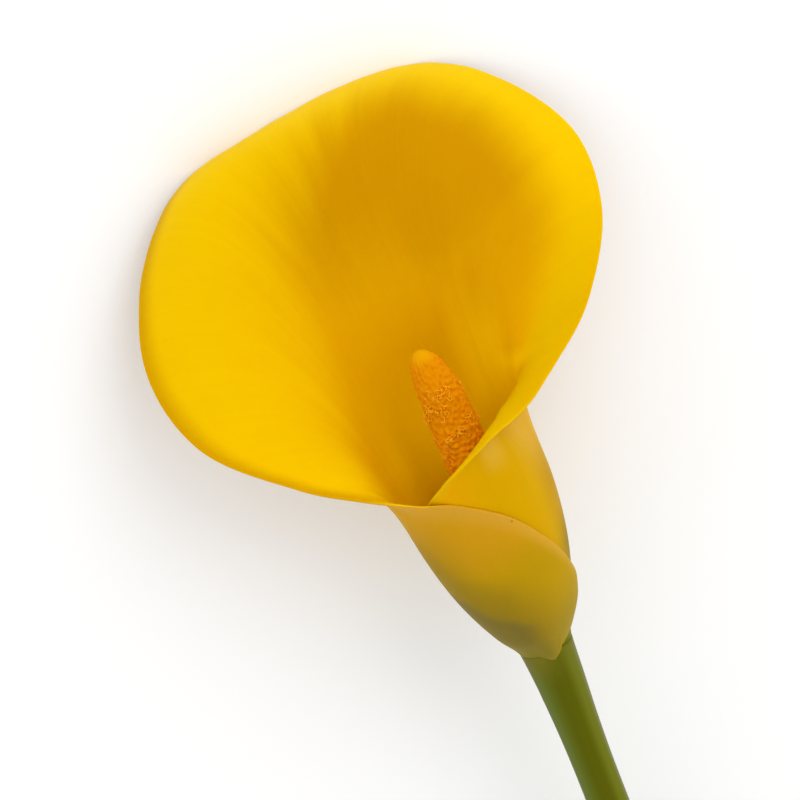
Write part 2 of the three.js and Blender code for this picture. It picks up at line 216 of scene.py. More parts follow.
# The spathe: one sheet rolled into a funnel, from its inner margin round to its outer margin.
spatheShape = {
    "thickness": 0.85, "marginThickness": 0.5, "marginReach": 5,
    "footRadius": spatheFoot, "swell": 9.3, "swellHeight": 16, "swellPower": 1.3, "taper": 0.01,
    "lean": 0.06, "hipShift": 0.5, "hipRise": 4, "hipFade": 22, "sway": 0.8, "swayReach": (30, 70),
    "innerOffset": -1.5, "innerReach": (-90, 150), "outerOffset": 1.15, "outerReach": (310, 460),
    "footTilt": 0.8, "innerFoot": 21, "innerFootFrom": 12, "innerFootReach": 82, "innerFootPower": 1.3,
    "outerFoot": 6.2, "outerFootFrom": 388, "outerFootReach": 74, "outerFootPower": 1,
    "footShift": 0.15, "footShiftReach": (10, 0), "footClosing": 7, "footSink": 0.12, "footSinkReach": 1,
    "lobeDip": 1.3, "lobeFrom": 334, "lobeLowest": 366, "lobeTo": 390,
    "lobeStand": 0.32, "lobeStandReach": (5, 1.5),
    "footThinning": 6, "feather": 0.12, "featherReach": (-0.5, 5),
    "innerLoose": (4, 14), "outerLoose": (380, 391), "wrapFrom": (318, 345), "hug": 0.55, "hugReach": 3.5,
    "throatRows": 0.34, "cornerAngle": 20, "cornerShare": 0.12, "farFromFoot": 50,
    "columns": 330, "tubeSpacing": 0.5, "endGathers": ((12, 0.35), (1.2, 3)),
    "rows": 104, "evenRows": (0.027, 0.973),
    "nearRows": (0, 0.0006, 0.0015, 0.003, 0.0052, 0.0085, 0.013, 0.019),
    "streakHeight": 0.05, "waverHeight": 0.3, "waverReach": (20, 70),
}
# angle, height, slope of the edge and radius of the rim's stations; a radius of 0 ends the tube as it is
rimStations = [
    (-70, 31, -84, 0), (-52, 37.9, -80, 0), (-38, 41.3, -66, 12.9), (-24, 43.9, -34, 14.2),
    (-8, 46.9, -4, 15.5), (10, 49.3, 4, 15.9), (30, 51.3, 8, 16.6), (58, 51.6, 8, 17.6),
    (78, 51.8, 4, 19.3), (90, 53.6, 0, 23.6), (103, 59.2, -4, 34.2), (112, 69.6, 2, 45),
    (121, 81.6, 8, 50.3), (134, 93.3, 10, 48.2), (147, 99, 12, 44.6), (165, 100.6, 12, 39.2),
    (185, 99.6, 16, 37.2), (199, 97.6, 22, 39.2), (212, 95.5, 25, 42.3), (225, 91.5, 25, 43.5),
    (238, 82.4, 22, 46), (249, 70.8, 14, 46.5), (260, 58.4, 0, 40.8), (271, 48.7, -16, 28.2),
    (284, 44.2, -16, 19.8), (300, 42.5, -26, 15.9), (318, 41.9, -54, 14.7), (345, 40.3, -80, 0),
    (375, 35, -84, 0), (400, 26.5, -84, 0), (425, 17.8, -84, 0), (448, 12.9, -84, 0), (466, 9.6, -84, 0),
]
# angle, share of the height at which the tube ends, and how far the wall and the lip then keep their own
# directions, as shares of the arch's length
archStations = [
    (-70, 0.8, 0.5, 0.3), (-40, 0.82, 0.5, 0.12), (-24, 0.8, 0.56, 0.14), (-8, 0.76, 0.66, 0.2),
    (30, 0.66, 0.74, 0.34), (58, 0.6, 0.66, 0.54), (78, 0.6, 0.62, 0.6), (90, 0.6, 0.6, 0.62),
    (98, 0.55, 0.6, 0.6), (103, 0.5, 0.6, 0.58), (112, 0.42, 0.6, 0.54), (121, 0.38, 0.6, 0.5),
    (134, 0.36, 0.56, 0.46), (147, 0.36, 0.5, 0.44), (185, 0.36, 0.46, 0.42), (225, 0.36, 0.5, 0.42),
    (238, 0.38, 0.56, 0.42), (249, 0.43, 0.66, 0.4), (262, 0.57, 0.74, 0.38), (275, 0.68, 0.78, 0.34),
    (288, 0.74, 0.8, 0.24), (302, 0.76, 0.66, 0.2), (320, 0.76, 0.55, 0.12), (345, 0.6, 0.5, 0.2),
    (466, 0.5, 0.6, 0.3),
]
firstAngle, lastAngle = rimStations[0][0], rimStations[-1][0]


def tubeRadius(height):
    # the tube swells by a dying exponential and then widens evenly
    s, up = spatheShape, np.maximum(height - footRise, 0)
    swollen = 1 - np.exp(-(up / s["swellHeight"]) ** s["swellPower"])
    return s["footRadius"] + s["swell"] * swollen + s["taper"] * up


def tubeSlope(height):
    # how fast the tube widens: the slope of tubeRadius
    s, share = spatheShape, np.maximum(height - footRise, 0) / spatheShape["swellHeight"]
    growth = s["swell"] * s["swellPower"] / s["swellHeight"] * share ** (s["swellPower"] - 1)
    return growth * np.exp(-share ** s["swellPower"]) + s["taper"]


def tubeLean(height):
    # how far the tube's middle stands to the left of the stem's axis
    s, up = spatheShape, np.maximum(height, 0)
    hip = s["hipShift"] * (1 - np.exp(-up / s["hipRise"])) * np.exp(-(up / s["hipFade"]) ** 2)
    return (s["lean"] * height + hip + s["sway"] * smooth(*s["swayReach"], height)
            + s["footShift"] * smooth(*s["footShiftReach"], height))


def layerOffset(angle):
    # the roll's spiral: the inner turn lies inside the tube's radius and the outer turn outside it
    s = spatheShape
    return (s["innerOffset"] * (1 - smooth(*s["innerReach"], angle))
            + s["outerOffset"] * smooth(*s["outerReach"], angle))


def lobeShare(angle):
    # 1 at the lowest corner of the wrap, which laps over the stem, and 0 on both sides of it
    s = spatheShape
    back = np.clip((s["lobeTo"] - angle) / (s["lobeTo"] - s["lobeLowest"]), 0, 1)
    return smooth(s["lobeFrom"], s["lobeLowest"], angle) * back


def footHeight(angle):
    # a tilted ring on the stem's shoulder, from which both loose ends climb away by a power of the angle
    s = spatheShape
    inner = np.maximum(0, (s["innerFootFrom"] - angle) / s["innerFootReach"])
    outer = np.maximum(0, (angle - s["outerFootFrom"]) / s["outerFootReach"])
    return (footRise + s["footTilt"] * (1 + np.cos(np.radians(angle))) - s["lobeDip"] * lobeShare(angle)
            + s["innerFoot"] * inner ** s["innerFootPower"] + s["outerFoot"] * outer ** s["outerFootPower"])


angles, heights, slopes, radii = (np.array(column, float) for column in zip(*rimStations))
rimHeight = curveThrough(angles, heights)
rimSlope = curveThrough(angles, slopes)
rimFlare = curveThrough(angles, np.where(radii > 0, radii - tubeRadius(heights) - layerOffset(angles), 0))
archAngles, *archColumns = zip(*archStations)
throatShare, wallPull, lipPull = (curveThrough(archAngles, column) for column in archColumns)


def cubic(a, b, c, d, t):
    # a Bezier curve from a to d that leaves towards b and arrives from c
    u = 1 - t
    return a * u ** 3 + 3 * b * u * u * t + 3 * c * u * t * t + d * t ** 3


def cornerAt(angle):
    # the share of the sheet's height that is left this near to one of its two ends
    s = spatheShape
    fromEnd = np.minimum(angle - firstAngle, lastAngle - angle) / s["cornerAngle"]
    return np.sqrt(np.maximum(1 - np.maximum(1 - fromEnd, 0) ** 2, s["cornerShare"] ** 2))


def sheetPoint(angle, share, corner):
    # up the tube as far as the throat, then along one cubic arch out to the rim
    s = spatheShape
    middle = (rimHeight(angle) + footHeight(angle)) / 2
    top = middle + (rimHeight(angle) - middle) * corner
    foot = middle + (footHeight(angle) - middle) * corner
    layer = layerOffset(angle)
    throat = foot + (top - foot) * throatShare(angle)
    low = foot + (throat - foot) * share / s["throatRows"]
    t = np.clip((share - s["throatRows"]) / (1 - s["throatRows"]), 0, 1)
    throatRadius = tubeRadius(throat) + layer
    rimRadius = tubeRadius(top) + layer + rimFlare(angle)
    reach = np.hypot(rimRadius - throatRadius, top - throat)
    wall = reach * wallPull(angle) / np.hypot(1, tubeSlope(throat))
    lip = reach * lipPull(angle)
    slope = np.radians(rimSlope(angle))
    onTube = share <= s["throatRows"]
    radius = np.where(onTube, tubeRadius(low) + layer,
                      cubic(throatRadius, throatRadius + wall * tubeSlope(throat),
                            rimRadius - lip * np.cos(slope), rimRadius, t))
    height = np.where(onTube, low, cubic(throat, throat + wall, top + lip * np.sin(slope), top, t))
    turn = np.radians(angle)
    return np.stack([radius * np.sin(turn) - tubeLean(height), -radius * np.cos(turn), height], -1)


def sheetNormal(angle, share):
    # across the sheet and outwards, from the points just beside each one
    corner, aside, beyond = cornerAt(angle), 0.3, 0.003
    low, high = np.maximum(share - beyond, 0), np.minimum(share + beyond, 1)
    around = sheetPoint(angle + aside, share, corner) - sheetPoint(angle - aside, share, corner)
    up = sheetPoint(angle, high, corner) - sheetPoint(angle, low, corner)
    normal = np.cross(around, up)
    return normal / np.linalg.norm(normal, axis=-1, keepdims=True)


def sheetColumns():
    # angles evenly spread along the rim, never far apart round the tube, and closer at the two ends
    s = spatheShape
    fine = np.linspace(firstAngle, lastAngle, 4001)
    width = np.diff(fine)
    rim = sheetPoint(fine, np.ones_like(fine), cornerAt(fine))
    step = np.hypot(np.linalg.norm(np.diff(rim, axis=0), axis=1), s["tubeSpacing"] * width)
    middle = (fine[1:] + fine[:-1]) / 2
    fromEnd = np.minimum(middle - firstAngle, lastAngle - middle)
    for weight, reach in s["endGathers"]:
        step = step + weight * width * np.exp(-fromEnd / reach)
    travelled = np.concatenate([[0], np.cumsum(step)])
    return np.interp(np.linspace(0, travelled[-1], s["columns"]), travelled, fine)


def sheetRows():
    # even shares, with a few more close to the foot and to the rim, where the edge is rounded
    s, near = spatheShape, np.array(spatheShape["nearRows"])
    even = np.linspace(*s["evenRows"], s["rows"] - 2 * len(near))
    return np.concatenate([near, even, (1 - near)[::-1]])


def travelledAlong(points, axis):
    # lengths along the grid lines of one direction, starting from nothing
    step = np.linalg.norm(np.diff(points, axis=axis), axis=-1)
    start = np.zeros_like(np.take(step, [0], axis=axis))
    return np.concatenate([start, np.cumsum(step, axis=axis)], axis=axis)


# angle, and how far inside the rim, in mm, the amber of the throat begins and is full; the amber is partly
# the petal's own deeper colour and partly painted shade of the deep funnel
amberStations = [
    (-70, 2, 14), (58, 2, 16), (90, 4, 20), (104, 8, 20), (112, 5, 20), (147, 3, 19), (185, 4, 27),
    (212, 6, 46), (238, 7, 66), (252, 8, 62), (268, 6, 46), (290, 3, 26), (320, 2, 16), (462, 2, 16),
]
amberAngles, *amberColumns = zip(*amberStations)
amberFrom, amberFull = (curveThrough(amberAngles, column) for column in amberColumns)


def sheetHalf(fromEdge, up, attached):
    # half the thickness: less along the margins, a half round at the very edge, a feather at the foot
    s = spatheShape
    half = mix(s["marginThickness"], s["thickness"], smooth(0, s["marginReach"], fromEdge)) / 2
    half = half * np.sqrt(np.clip(1 - np.clip(1 - fromEdge / half, 0, 1) ** 2, 0, 1))
    return half * mix(1, mix(s["feather"], 1, smooth(*s["featherReach"], up)), attached)


def settledFoot(angle, up, half, attached):
    # how far the foot moves to close on the stem's shoulder: as the sheet thins its outer face stays where
    # it is, its swelling and its lean die away, and the wrap's lowest corner stands off the stem
    s, foot = spatheShape, footHeight(angle)
    radial = np.stack([np.sin(np.radians(angle)), -np.cos(np.radians(angle)), 0 * angle], -1)
    thinned = (s["thickness"] / 2 - half) * smooth(s["footThinning"], 0, up)
    excess = np.maximum(tubeRadius(foot) + layerOffset(angle) - s["footRadius"], 0)
    closing = smooth(s["footClosing"], 0, up) * attached
    stand = s["lobeStand"] * lobeShare(angle) * smooth(*s["lobeStandReach"], up)
    moved = radial * (thinned * attached - excess * closing + stand)[..., None]
    moved[..., 0] += (tubeLean(foot) - s["footShift"]) * closing
    moved[..., 2] -= s["footSink"] * smooth(s["footSinkReach"], 0, up) * attached
    return moved


def borderQuads(columns, rows):
    # the quads that join a grid's two faces all round its border
    at = np.arange(columns * rows).reshape(columns, rows)
    border = np.concatenate([at[:-1, 0], at[-1, :-1], at[:0:-1, -1], at[0, :0:-1]])
    after = np.roll(border, -1)
    return np.stack([border, border + at.size, after + at.size, after], -1)


def makeSpathe():
    # two faces half a thickness to each side of the sheet's middle, joined round its border
    s = spatheShape
    angle, share = np.meshgrid(sheetColumns(), sheetRows(), indexing="ij")
    points = sheetPoint(angle, share, cornerAt(angle))
    normal = sheetNormal(angle, share)
    up, across = travelledAlong(points, 1), travelledAlong(points, 0)
    fromRim = up[:, -1:] - up
    fromEnd = np.minimum(across, across[-1:] - across)
    attached = 1 - np.maximum(1 - smooth(*s["innerLoose"], angle), smooth(*s["outerLoose"], angle))
    fromFoot = up + s["farFromFoot"] * attached     # the foot counts as an edge only where it is loose
    fromEdge = np.minimum(np.minimum(fromRim, fromEnd), fromFoot)
    half = sheetHalf(fromEdge, up, attached)
    # the outer margin lies down on the turn beneath it
    nearRim = np.exp(-np.minimum(fromRim, fromEnd) / s["hugReach"])
    nearFoot = (1 - attached) * np.exp(-up / s["hugReach"])
    overlap = smooth(*s["wrapFrom"], angle) * np.maximum(nearRim, nearFoot)
    points = points - normal * (s["hug"] * overlap)[..., None]
    # faint lengthwise streaks, and a slow waver that grows towards the rim
    streak = ripples(angle * 0.9, points[..., 2] * 0.04, seed=11)
    waver = ripples(points[..., 0] * 0.12, points[..., 2] * 0.12, seed=12)
    lifted = s["streakHeight"] * streak + s["waverHeight"] * waver
    lifted = lifted * smooth(*s["waverReach"], points[..., 2])
    points = points + normal * lifted[..., None] + settledFoot(angle, up, half, attached)
    outer, inner = points + normal * half[..., None], points - normal * half[..., None]
    columns, rows = angle.shape
    backs = gridQuads(columns, rows, angle.size, flipped=True)
    faces = [gridQuads(columns, rows), backs, borderQuads(columns, rows)]
    deep = smooth(0, 1, (fromRim - amberFrom(angle)) / (amberFull(angle) - amberFrom(angle)))
    margin = np.clip(fromEdge / 10, 0, 1)
    masks = {"height": points[..., 2] / 100, "margin": margin, "deep": deep, "turn": angle / 360}
    masks = {name: np.tile(values.ravel(), 2) for name, values in masks.items()}
    masks["outside"] = np.repeat([1.0, 0.0], angle.size)
    uv = np.stack([angle / 360, points[..., 2] / 100], -1).reshape(-1, 2)
    allPoints = np.concatenate([outer.reshape(-1, 3), inner.reshape(-1, 3)])
    return makePiece("spatheSheet", allPoints, faces, masks, np.concatenate([uv, uv]))


# The spadix: a club covered with small florets in staggered rows.
spadixShape = {
    "bottom": 2.6, "top": 64.5, "radius": 3.72, "footRadius": 3.05, "footHeight": 14, "baseLength": 1.5,
    "tipLength": 11, "tipPower": 2.4, "bareTip": (0.3, 2.6), "belly": 0.36, "bellyReach": (60, 42),
    "lean": -0.027, "tipBend": -1, "bendLength": 16.5,
    "rowPitch": 0.95, "around": 23, "floretRadius": 0.62, "floretSpread": (0.85, 1.15), "jitter": 0.4,
    "relief": 0.135, "domeReach": (0.25, 1.15), "ownRise": (0.6, 1.4), "sunk": 0.35, "crumble": 0.13,
    "slit": 0.12, "slitWidth": 0.13, "sides": 242, "rings": 400, "evenRings": 0.75,
}


def spadixAxis(height):
    # a straight lean, and a bend that grows with the square of the height over the last part
    s = spadixShape
    bend = np.maximum(0, 1 - (s["top"] - height) / s["bendLength"])
    return s["lean"] * height + s["tipBend"] * bend ** 2


def spadixRadius(height):
    # a club that widens from its foot and closes in a blunt tip
    s = spadixShape
    tip = np.clip(1 - (s["top"] - height) / s["tipLength"], 0, 1)
    base = np.clip(1 - (height - s["bottom"]) / s["baseLength"], 0, 1)
    bellied = s["radius"] + s["belly"] * smooth(*s["bellyReach"], height)
    body = mix(s["footRadius"], bellied, smooth(s["bottom"], s["footHeight"], height))
    return body * np.sqrt(np.clip(1 - tip ** s["tipPower"], 0, 1)) * np.sqrt(1 - 0.5 * base ** 2)


def drawn(i, j, seed):
    # a repeatable number from 0 to 1 for each cell of a lattice: the last digits of a large sine
    value = np.sin(i * 127.1 + j * 311.7 + seed * 74.7) * 43758.5453
    return value - np.floor(value)


def floretField(turn, height):
    # nearest floret of a staggered lattice: its share of a floret's radius, a number of its own, its slit
    s = spadixShape
    step = 2 * math.pi / s["around"]
    best = np.full(turn.shape, np.inf)
    own, slit = np.zeros(turn.shape), np.zeros(turn.shape)
    for away in (-1, 0, 1):
        row = np.round(height / s["rowPitch"]) + away
        stagger = 0.5 * np.mod(row, 2)
        for aside in (0, 1):
            column = np.floor(turn / step - stagger) + aside
            wrapped = np.mod(column, s["around"])
            offX = s["jitter"] * (drawn(wrapped, row, 1) - 0.5) * 2
            offY = s["jitter"] * (drawn(wrapped, row, 2) - 0.5) * 2
            dx = (turn - (column + stagger + offX) * step) * s["radius"]
            dy = height - (row + offY) * s["rowPitch"]
            lean = drawn(wrapped, row, 3) * math.pi
            size = s["floretRadius"] * mix(*s["floretSpread"], drawn(wrapped, row, 4))
            distance = np.hypot(dx, dy) / size
            closer = distance < best
            best = np.where(closer, distance, best)
            own = np.where(closer, drawn(wrapped, row, 5), own)
            offSlit = (dx * np.cos(lean) + dy * np.sin(lean)) / s["slitWidth"]
            slit = np.where(closer, np.exp(-offSlit ** 2), slit)
    return best, own, slit


def makeSpadix():
    # the club's radius, raised by each floret's dome, cut by its slit and crumbled by fine ripples
    s = spadixShape
    turnRow = np.arange(s["sides"]) * 2 * math.pi / s["sides"]
    share = np.linspace(0, 1, s["rings"])
    # rings lie closer together at the tip
    share = mix(np.sin(share * math.pi / 2), share, s["evenRings"])
    heightRow = mix(s["bottom"], s["top"], share)
    turn, height = np.meshgrid(turnRow, heightRow, indexing="ij")
    distance, own, slit = floretField(turn, height)
    covered = smooth(*s["bareTip"], s["top"] - height)
    dome = 1 - smooth(*s["domeReach"], distance)
    floret = dome * mix(*s["ownRise"], own) - s["slit"] * slit * dome - s["sunk"]
    crumbs = ripples(turn * s["radius"], height, seed=31, finest=7, count=40)
    raised = covered * (s["relief"] * floret + s["crumble"] * crumbs)
    radius = np.maximum(spadixRadius(height) + raised * np.clip(spadixRadius(height) / 2, 0, 1), 0.001)
    radius[:, 0] = 0.001
    points = np.stack([spadixAxis(height) + radius * np.cos(turn), radius * np.sin(turn), height], -1)
    masks = {"height": height / 100, "dome": mix(1, dome, covered), "own": own, "bare": 1 - covered}
    faces = [gridQuads(s["sides"], s["rings"], around=True)]
    return makePiece("spadixFlorets", points, faces, masks)


# Pollen: short curled threads in tufts over the florets.
pollenShape = {
    "seed": 21, "perTuft": 6, "spreadUp": 0.55, "spreadRound": 0.14,
    "thickness": 0.08, "length": (0.9, 2.2), "curl": 5, "wiggle": (0.5, 1.6), "wiggles": 9,
    "lift": 0.14, "hump": 0.16, "humps": 3.1, "looseHeight": 1.1, "loosePower": 5,
    "lowest": 20, "belowTip": 3, "steps": 14, "sides": 5,
}
# height up the flower, in mm, and angle round the spadix of each tuft
pollenTufts = [
    (57.3, 17), (56.9, -25), (55.5, 1), (54.7, -46), (53.6, -29), (53.2, -10), (52.2, -77), (51.8, -88),
    (55.6, 80), (50.6, 47), (49.2, 1), (49.6, 8), (48.5, -8), (48.9, 16), (47.3, -32), (46.4, -38),
    (45.5, -48), (48.5, -84), (46.2, -88), (43.2, -60), (41.5, -30), (44.5, 30), (39, 12), (37, -55),
    (49, 110), (54, 150), (46, 200), (40, 170), (58, 230), (51, 250), (35, 95),
]


def makePollen():
    # each thread is a small tube along a curling path that lies on the florets
    s = pollenShape
    draw = np.random.default_rng(s["seed"])
    count = len(pollenTufts) * s["perTuft"]
    tuft = np.repeat(np.array(pollenTufts, float), s["perTuft"], axis=0)
    height = tuft[:, 0] + draw.normal(0, s["spreadUp"], count)
    turn = np.radians(tuft[:, 1] - 90) + draw.normal(0, s["spreadRound"], count)
    length = draw.uniform(*s["length"], count)
    heading, curl = draw.uniform(0, 2 * math.pi, count), draw.uniform(-s["curl"], s["curl"], count)
    wiggle, start = draw.uniform(*s["wiggle"], count), draw.uniform(0, 6, count)
    t = np.linspace(0, 1, s["steps"])[None, :]
    wave = wiggle[:, None] * np.sin(s["wiggles"] * t + start[:, None])
    bearing = heading[:, None] + curl[:, None] * t + wave
    stride = length[:, None] / s["steps"]
    dx, dy = np.cumsum(np.cos(bearing), 1) * stride, np.cumsum(np.sin(bearing), 1) * stride
    h = np.clip(height[:, None] + dy, s["lowest"], spadixShape["top"] - s["belowTip"])
    a = turn[:, None] + dx / spadixShape["radius"]
    loose = draw.uniform(0, 1, count)[:, None] ** s["loosePower"] * np.sin(math.pi * t) * s["looseHeight"]
    r = spadixRadius(h) + s["lift"] + s["hump"] * np.abs(np.sin(s["humps"] * t + start[:, None])) + loose
    path = np.stack([spadixAxis(h) + r * np.cos(a), r * np.sin(a), h], -1)
    along = np.gradient(path, axis=1)
    along /= np.linalg.norm(along, axis=-1, keepdims=True) + 1e-9
    outward = np.stack([np.cos(a), np.sin(a), 0 * a], -1)
    sideways = np.cross(along, outward)
    sideways /= np.linalg.norm(sideways, axis=-1, keepdims=True) + 1e-9
    upward = np.cross(sideways, along)
    thin = s["thickness"] * np.sqrt(np.clip(1 - (2 * t - 1) ** 8, 0.02, 1))
    ring = np.arange(s["sides"]) * 2 * math.pi / s["sides"]
    rim = (np.cos(ring)[None, :, None, None] * sideways[:, None]
           + np.sin(ring)[None, :, None, None] * upward[:, None])
    points = path[:, None] + thin[:, None, :, None] * rim
    perThread = s["sides"] * s["steps"]
    tubes = [gridQuads(s["sides"], s["steps"], i * perThread, around=True) for i in range(count)]
    starts = np.arange(count)[:, None] * perThread + np.arange(s["sides"])[None, :] * s["steps"]
    return makePiece("pollenThreads", points, tubes + [starts[:, ::-1], starts + s["steps"] - 1])


class Nodes:
    # a short way to add and join the shader nodes of one material
    def __init__(self, name):
        self.material = bpy.data.materials.new(name)
        self.material.use_nodes = True
        self.tree = self.material.node_tree
        self.tree.nodes.clear()

    def add(self, kind, inputs=None, output=0, **settings):
        # a node with its settings and its inputs, each a value or another node's output
        node = self.tree.nodes.new(kind)
        for name, value in settings.items():
            setattr(node, name, value)
        for name, value in (inputs or {}).items():
            if isinstance(value, bpy.types.NodeSocket):
                self.tree.links.new(value, node.inputs[name])
            else:
                node.inputs[name].default_value = value
        return node.outputs[output]

    def mask(self, name):
        # a value that the piece keeps at each of its points
        return self.add("ShaderNodeAttribute", output="Fac", attribute_name=name)

    def math(self, operation, a, b=0.0, c=0.0):
        # one sum of up to three numbers
        return self.add("ShaderNodeMath", {0: a, 1: b, 2: c}, operation=operation)

    def between(self, value, low, high, toLow=0.0, toHigh=1.0):
        # toLow up to low, toHigh from high on, and a smooth step between them
        settings = {"Value": value, "From Min": low, "From Max": high, "To Min": toLow, "To Max": toHigh}
        return self.add("ShaderNodeMapRange", settings, interpolation_type="SMOOTHSTEP")

    def reach(self, masks, place):
        # the product of the shares that the masks named in the place have reached
        share = 1.0
        for name, *ends in place:
            share = self.math("MULTIPLY", share, self.between(masks[name], *ends))
        return share

    def painted(self, color, finish, masks, patches):
        # one patch of colour after another over the first colour, each in its own place
        for name, place in patches:
            color = self.blend(self.reach(masks, place), color, finish[name])
        return color

    def blend(self, share, a, b, mode="MIX"):
        # share 0 gives a, and share 1 gives b
        node = self.tree.nodes.new("ShaderNodeMix")
        node.data_type, node.blend_type = "RGBA", mode
        for name, value in (("Factor", share), ("A", a), ("B", b)):
            socket = [i for i in node.inputs if i.name == name and i.enabled][0]
            if isinstance(value, bpy.types.NodeSocket):
                self.tree.links.new(value, socket)
            else:
                socket.default_value = value
        return [o for o in node.outputs if o.enabled][0]

    def noise(self, vector, scale, detail=3.0, roughness=0.5):
        # cloudy noise from 0 to 1, finer with a larger scale
        settings = {"Vector": vector, "Scale": scale, "Detail": detail, "Roughness": roughness}
        return self.add("ShaderNodeTexNoise", settings, output="Fac")

    def stretched(self, source, scale):
        # a place whose three numbers are multiplied by the scale's
        return self.add("ShaderNodeMapping", {"Vector": source, "Scale": scale})

    def tinted(self, color, tint):
        # the colour multiplied by the tint
        return self.blend(1.0, color, tint, "MULTIPLY")

    def bumped(self, height, strength, distance, under=None):
        # a relief of that height, over the relief under it
        settings = {"Height": height, "Strength": strength, "Distance": distance}
        if under is not None:
            settings["Normal"] = under
        return self.add("ShaderNodeBump", settings)

    def finish(self, surface):
        # joins the surface to the output and gives back the material
        out = self.tree.nodes.new("ShaderNodeOutputMaterial")
        self.tree.links.new(surface, out.inputs["Surface"])
        return self.material


def rgb(red, green, blue):
    # a colour given as the eight-bit values a picture shows
    linear = [((v / 255 + 0.055) / 1.055) ** 2.4 if v > 10 else v / 255 / 12.92 for v in (red, green, blue)]
    return (*linear, 1.0)


spatheFinish = {
    "rim": rgb(236, 193, 0), "rimLeft": rgb(235, 192, 0), "rimRight": rgb(216, 174, 0),
    "rolledEdgeShade": rgb(206, 158, 0), "amber": rgb(219, 162, 0), "high": rgb(202, 144, 0),
    # throat and fold are painted light that lifts the shade deep in the funnel and in the right lip's fold
    "throat": rgb(255, 217, 0), "fold": rgb(252, 216, 0),
    "innerTurn": rgb(206, 158, 0), "innerFold": rgb(222, 162, 0), "innerLow": rgb(136, 112, 4),
    "innerSide": rgb(182, 138, 10), "innerTop": rgb(216, 168, 48), "paleSheen": rgb(216, 176, 70),
    "back": rgb(214, 168, 8), "wrapTop": rgb(200, 148, 20), "wrap": rgb(182, 144, 8),
    "wrapLow": rgb(156, 132, 30), "leftShade": rgb(158, 122, 12), "olive": rgb(145, 119, 20),
    "oliveShade": rgb(120, 105, 38), "foot": rgb(128, 116, 38), "neck": rgb(106, 108, 14),
    "lip": rgb(206, 156, 52), "speck": (0.7, 0.62, 0.45, 1), "vein": (0.86, 0.72, 0.5, 1),
    "blotch": (0.9, 0.8, 0.6, 1), "veinShare": 0.1, "blotchShare": 0.12, "feathering": 3.2,
    "raggedness": 0.06, "slant": 0.36, "rightGlow": -0.1, "leftGlow": 0.1,
    "rayScale": (40, 2.2, 1), "unevenScale": 110, "blotchScale": 90, "veinScale": (260, 3.2, 1),
    "veinRelief": (0.12, 0.00025), "grainScale": 2600, "grainRelief": (0.12, 0.0001),
    "gloss": (1, 0.72, 0.1, 1), "glossLevel": 0.03, "roughness": 0.5,
    "glow": 0.5, "glowReach": (1.0, 0.6, 0.05), "glowScale": 0.0012,
}
# Where each colour lies: masks, each with the value where the colour begins and the value where it is full,
# and after these, in some, the least and the most of it. Heights are in tenths of a metre, turns are whole
# turns round the flower, and a margin is in centimetres.
leftOfRim = [("turn", 0.52, 0.62), ("turn", 0.86, 0.78)]
# rimRight is painted shade down the rim's right side, and the rolled edge is painted shade where the left
# margin rolls back out of the light
rimPatches = [
    ("rimLeft", leftOfRim), ("rimRight", [("turn", 0.34, 0.28)]),
    ("rolledEdgeShade", [*leftOfRim, ("margin", 0.5, 0)]),
]
insidePlaces = {
    # high, crease and hollow place painted shade: high up the back wall where the light only grazes, and in
    # the fold inside the right flare
    "high": [("height", 0.66, 0.9)],
    "crease": [("turn", 0.29, 0.35), ("turn", 0.46, 0.4), ("height", 0.66, 0.84)],
    "hollow": [("turn", 0.295, 0.32), ("turn", 0.375, 0.345), ("height", 0.55, 0.66, 0, 0.45)],
    "rightWall": [("turn", 0.45, 0.38), ("turn", 0.295, 0.335)],
    "leftWall": [("turn", 0.62, 0.7)],
    # the throat's lighter colour is painted light, against the shade deep in the funnel
    "throat": [("depth", 0.6, 0.34)],
    "fold": [("turn", 0.345, 0.315), ("turn", 0.265, 0.295), ("height", 0.565, 0.53, 0, 0.6)],
}
# painted shade: the right side of the inner turn darkens from its top down, where it faces away from the
# light
sideShadePatches = [("innerSide", [("height", 0.2, 0.3)]), ("innerTop", [("height", 0.33, 0.46)])]
# the first patch is a painted sheen, a pale streak of reflected light under the lip
sheenPatches = [
    ("paleSheen", [("turn", 0.03, 0.07), ("turn", 0.115, 0.08), ("height", 0.42, 0.47, 0, 0.4)]),
    ("rimRight", [("margin", 0.3, 0, 0, 0.8)]),
]
# the back darkens towards the foot, partly its greener foot and partly painted shade
backPatches = [
    ("back", [("turn", 0.27, 0.36)]), ("wrapLow", [("ragged", 0.26, 0.08)]), ("foot", [("ragged", 0.08, 0)]),
    ("neck", [("height", 0.05, 0.02)]),
]
# the wrap darkens downwards and to the left: partly its greener foot, partly painted shade where it faces
# down and away from the light
wrapPatches = [
    ("wrap", [("ragged", 0.34, 0.22)]), ("wrapLow", [("ragged", 0.2, 0.07)]),
    ("leftShade", [("turn", 0.96, 0.8), ("ragged", 0.4, 0.27)]),
    ("olive", [("slanted", 0.62, 0.49), ("turn", 1.12, 0.95)]),
    ("oliveShade", [("slanted", 0.505, 0.465), ("turn", 1.05, 0.95)]),
    ("foot", [("ragged", 0.08, 0.02), ("turn", 1.1, 0.97)]),
    # the pale lip is a painted sheen, the reflection of the white surroundings along the margin
    ("lip", [("margin", 0.5, 0.05, 0, 0.75), ("turn", 0.76, 0.84), ("ragged", 0.14, 0.26)]),
]
# angle and height, in mm, of the tiny dark specks on the wrap
specks, speckSize = [(376, 34.0), (295, 25.6)], 0.28


